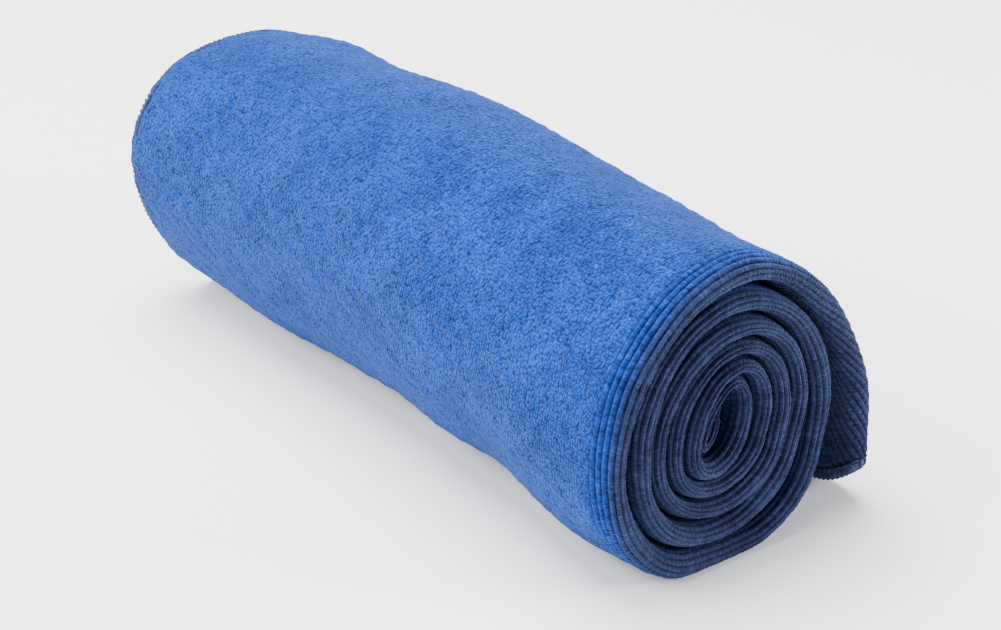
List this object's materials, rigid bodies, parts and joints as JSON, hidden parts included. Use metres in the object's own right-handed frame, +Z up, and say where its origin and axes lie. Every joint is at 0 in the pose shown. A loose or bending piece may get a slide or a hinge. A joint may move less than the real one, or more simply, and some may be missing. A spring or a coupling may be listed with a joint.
{
  "type": "rolled quick-dry towel",
  "caption": "Terry travel towel folded lengthwise and rolled up, lying on its side, with a loose free end that peels up and overlocked edges.",
  "frame": {"origin": "middle of the towel's footprint, on the surface that it lies on", "axes": "+Y along the roll towards the sheet's cut long edges (the fold is at -Y), +Z up, +X towards the side where the free end hangs"},
  "size_m": [0.102, 0.25, 0.0932],
  "materials": {
    "terry": "soft looped pile, matt",
    "overlock_thread": "twisted thread, matt"
  },
  "bodies": {
    "roll": {"rolled_cloth": "terry", "core_hem": "overlock_thread", "outer_edge_hem_roll": "overlock_thread", "inner_edge_hem_roll": "overlock_thread"},
    "upper_flap": {"flap_upper": "terry", "outer_edge_hem_upper": "overlock_thread", "inner_edge_hem_upper": "overlock_thread"},
    "middle_flap": {"flap_middle": "terry", "outer_edge_hem_middle": "overlock_thread", "inner_edge_hem_middle": "overlock_thread"},
    "tail_flap": {"flap_tail": "terry", "tail_hem": "overlock_thread", "outer_edge_hem_tail": "overlock_thread", "inner_edge_hem_tail": "overlock_thread"}
  },
  "joints": [
    {"name": "peel_upper", "type": "hinge", "parent": "roll", "child": "upper_flap", "pos_m": [-0.01021, 0, 0.09296], "axis": [0, -1, 0], "range_deg": [0, 55]},
    {"name": "peel_middle", "type": "hinge", "parent": "upper_flap", "child": "middle_flap", "pos_m": [0.01427, 0, 0.08731], "axis": [0, -1, 0], "range_deg": [0, 55]},
    {"name": "peel_tail", "type": "hinge", "parent": "middle_flap", "child": "tail_flap", "pos_m": [0.03377, 0, 0.06818], "axis": [0, -1, 0], "range_deg": [0, 55]}
  ]
}
